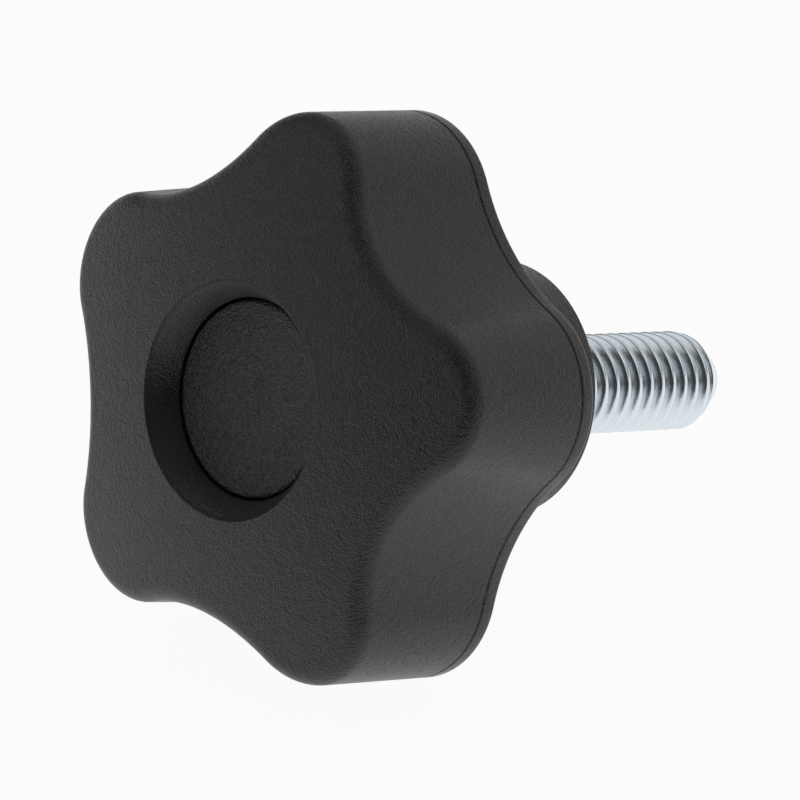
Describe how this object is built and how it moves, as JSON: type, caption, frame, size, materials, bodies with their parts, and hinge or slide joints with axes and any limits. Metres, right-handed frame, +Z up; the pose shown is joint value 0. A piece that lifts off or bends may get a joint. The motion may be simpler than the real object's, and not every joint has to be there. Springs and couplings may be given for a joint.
{
  "type": "star knob",
  "caption": "Lobed star knob in black moulded plastic with a crowned face, a press-fit centre cap, a round hub and a moulded-in threaded steel stud.",
  "frame": {"origin": "on the surface the knob lies on, under the middle of its bounding box", "axes": "+Z up; the knob lies on two neighbouring lobes and its stud's point, with the stud pointing along +Y and down by 24.1 degrees and the crowned face turned to -Y; X is the knob's left and right"},
  "size_m": [0.032, 0.0408, 0.0319],
  "materials": {
    "grip_plastic": "spark-eroded matte grain, near black",
    "cap_plastic": "slightly coarser matte grain, near black",
    "zinc_plated_steel": "bright blue-white zinc plate"
  },
  "bodies": {
    "root": {"grip_body": "grip_plastic", "centre_cap": "cap_plastic", "threaded_stud": "zinc_plated_steel"}
  },
  "joints": []
}
